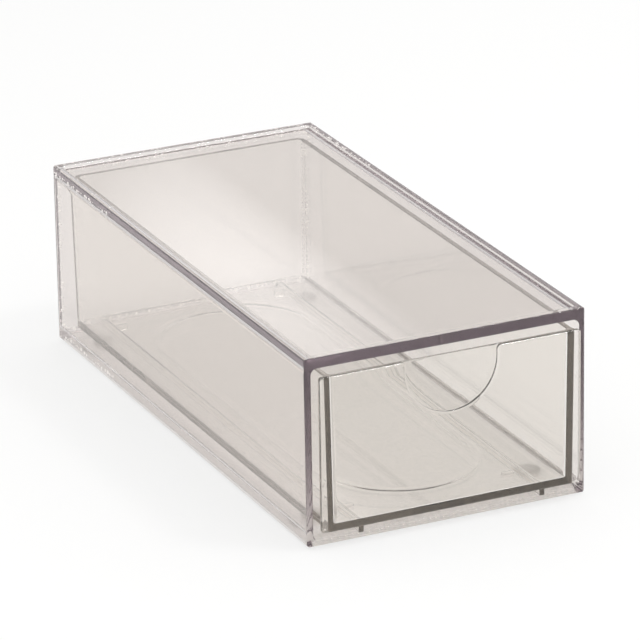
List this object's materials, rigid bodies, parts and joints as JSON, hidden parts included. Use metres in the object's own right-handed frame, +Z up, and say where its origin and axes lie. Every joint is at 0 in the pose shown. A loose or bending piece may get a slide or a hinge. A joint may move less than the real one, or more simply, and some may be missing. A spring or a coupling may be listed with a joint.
{
  "type": "stackable desktop drawer organizer",
  "caption": "Clear rectangular desktop storage case, open at the front, with a pull-out tray drawer that has a round finger notch.",
  "frame": {"origin": "middle of the footprint, on the surface that the feet stand on", "axes": "+X to the right seen from the front, +Y to the back, +Z up; the drawer opens towards -Y"},
  "size_m": [0.1, 0.211, 0.0653],
  "materials": {
    "case_plastic": "clear, warm grey tint, polished",
    "drawer_plastic": "clear, warm grey tint, polished",
    "foot_pad": "clear soft pad, satin"
  },
  "bodies": {
    "case": {"case_shell": "case_plastic", "rear_panel": "case_plastic", "foot_front_left": "foot_pad", "foot_front_right": "foot_pad", "foot_rear_left": "foot_pad", "foot_rear_right": "foot_pad"},
    "drawer": {"drawer_tray": "drawer_plastic"}
  },
  "joints": [
    {"name": "drawer_slide", "type": "slide", "parent": "case", "child": "drawer", "axis": [0, -1, 0], "range_m": [0, 0.174]}
  ]
}
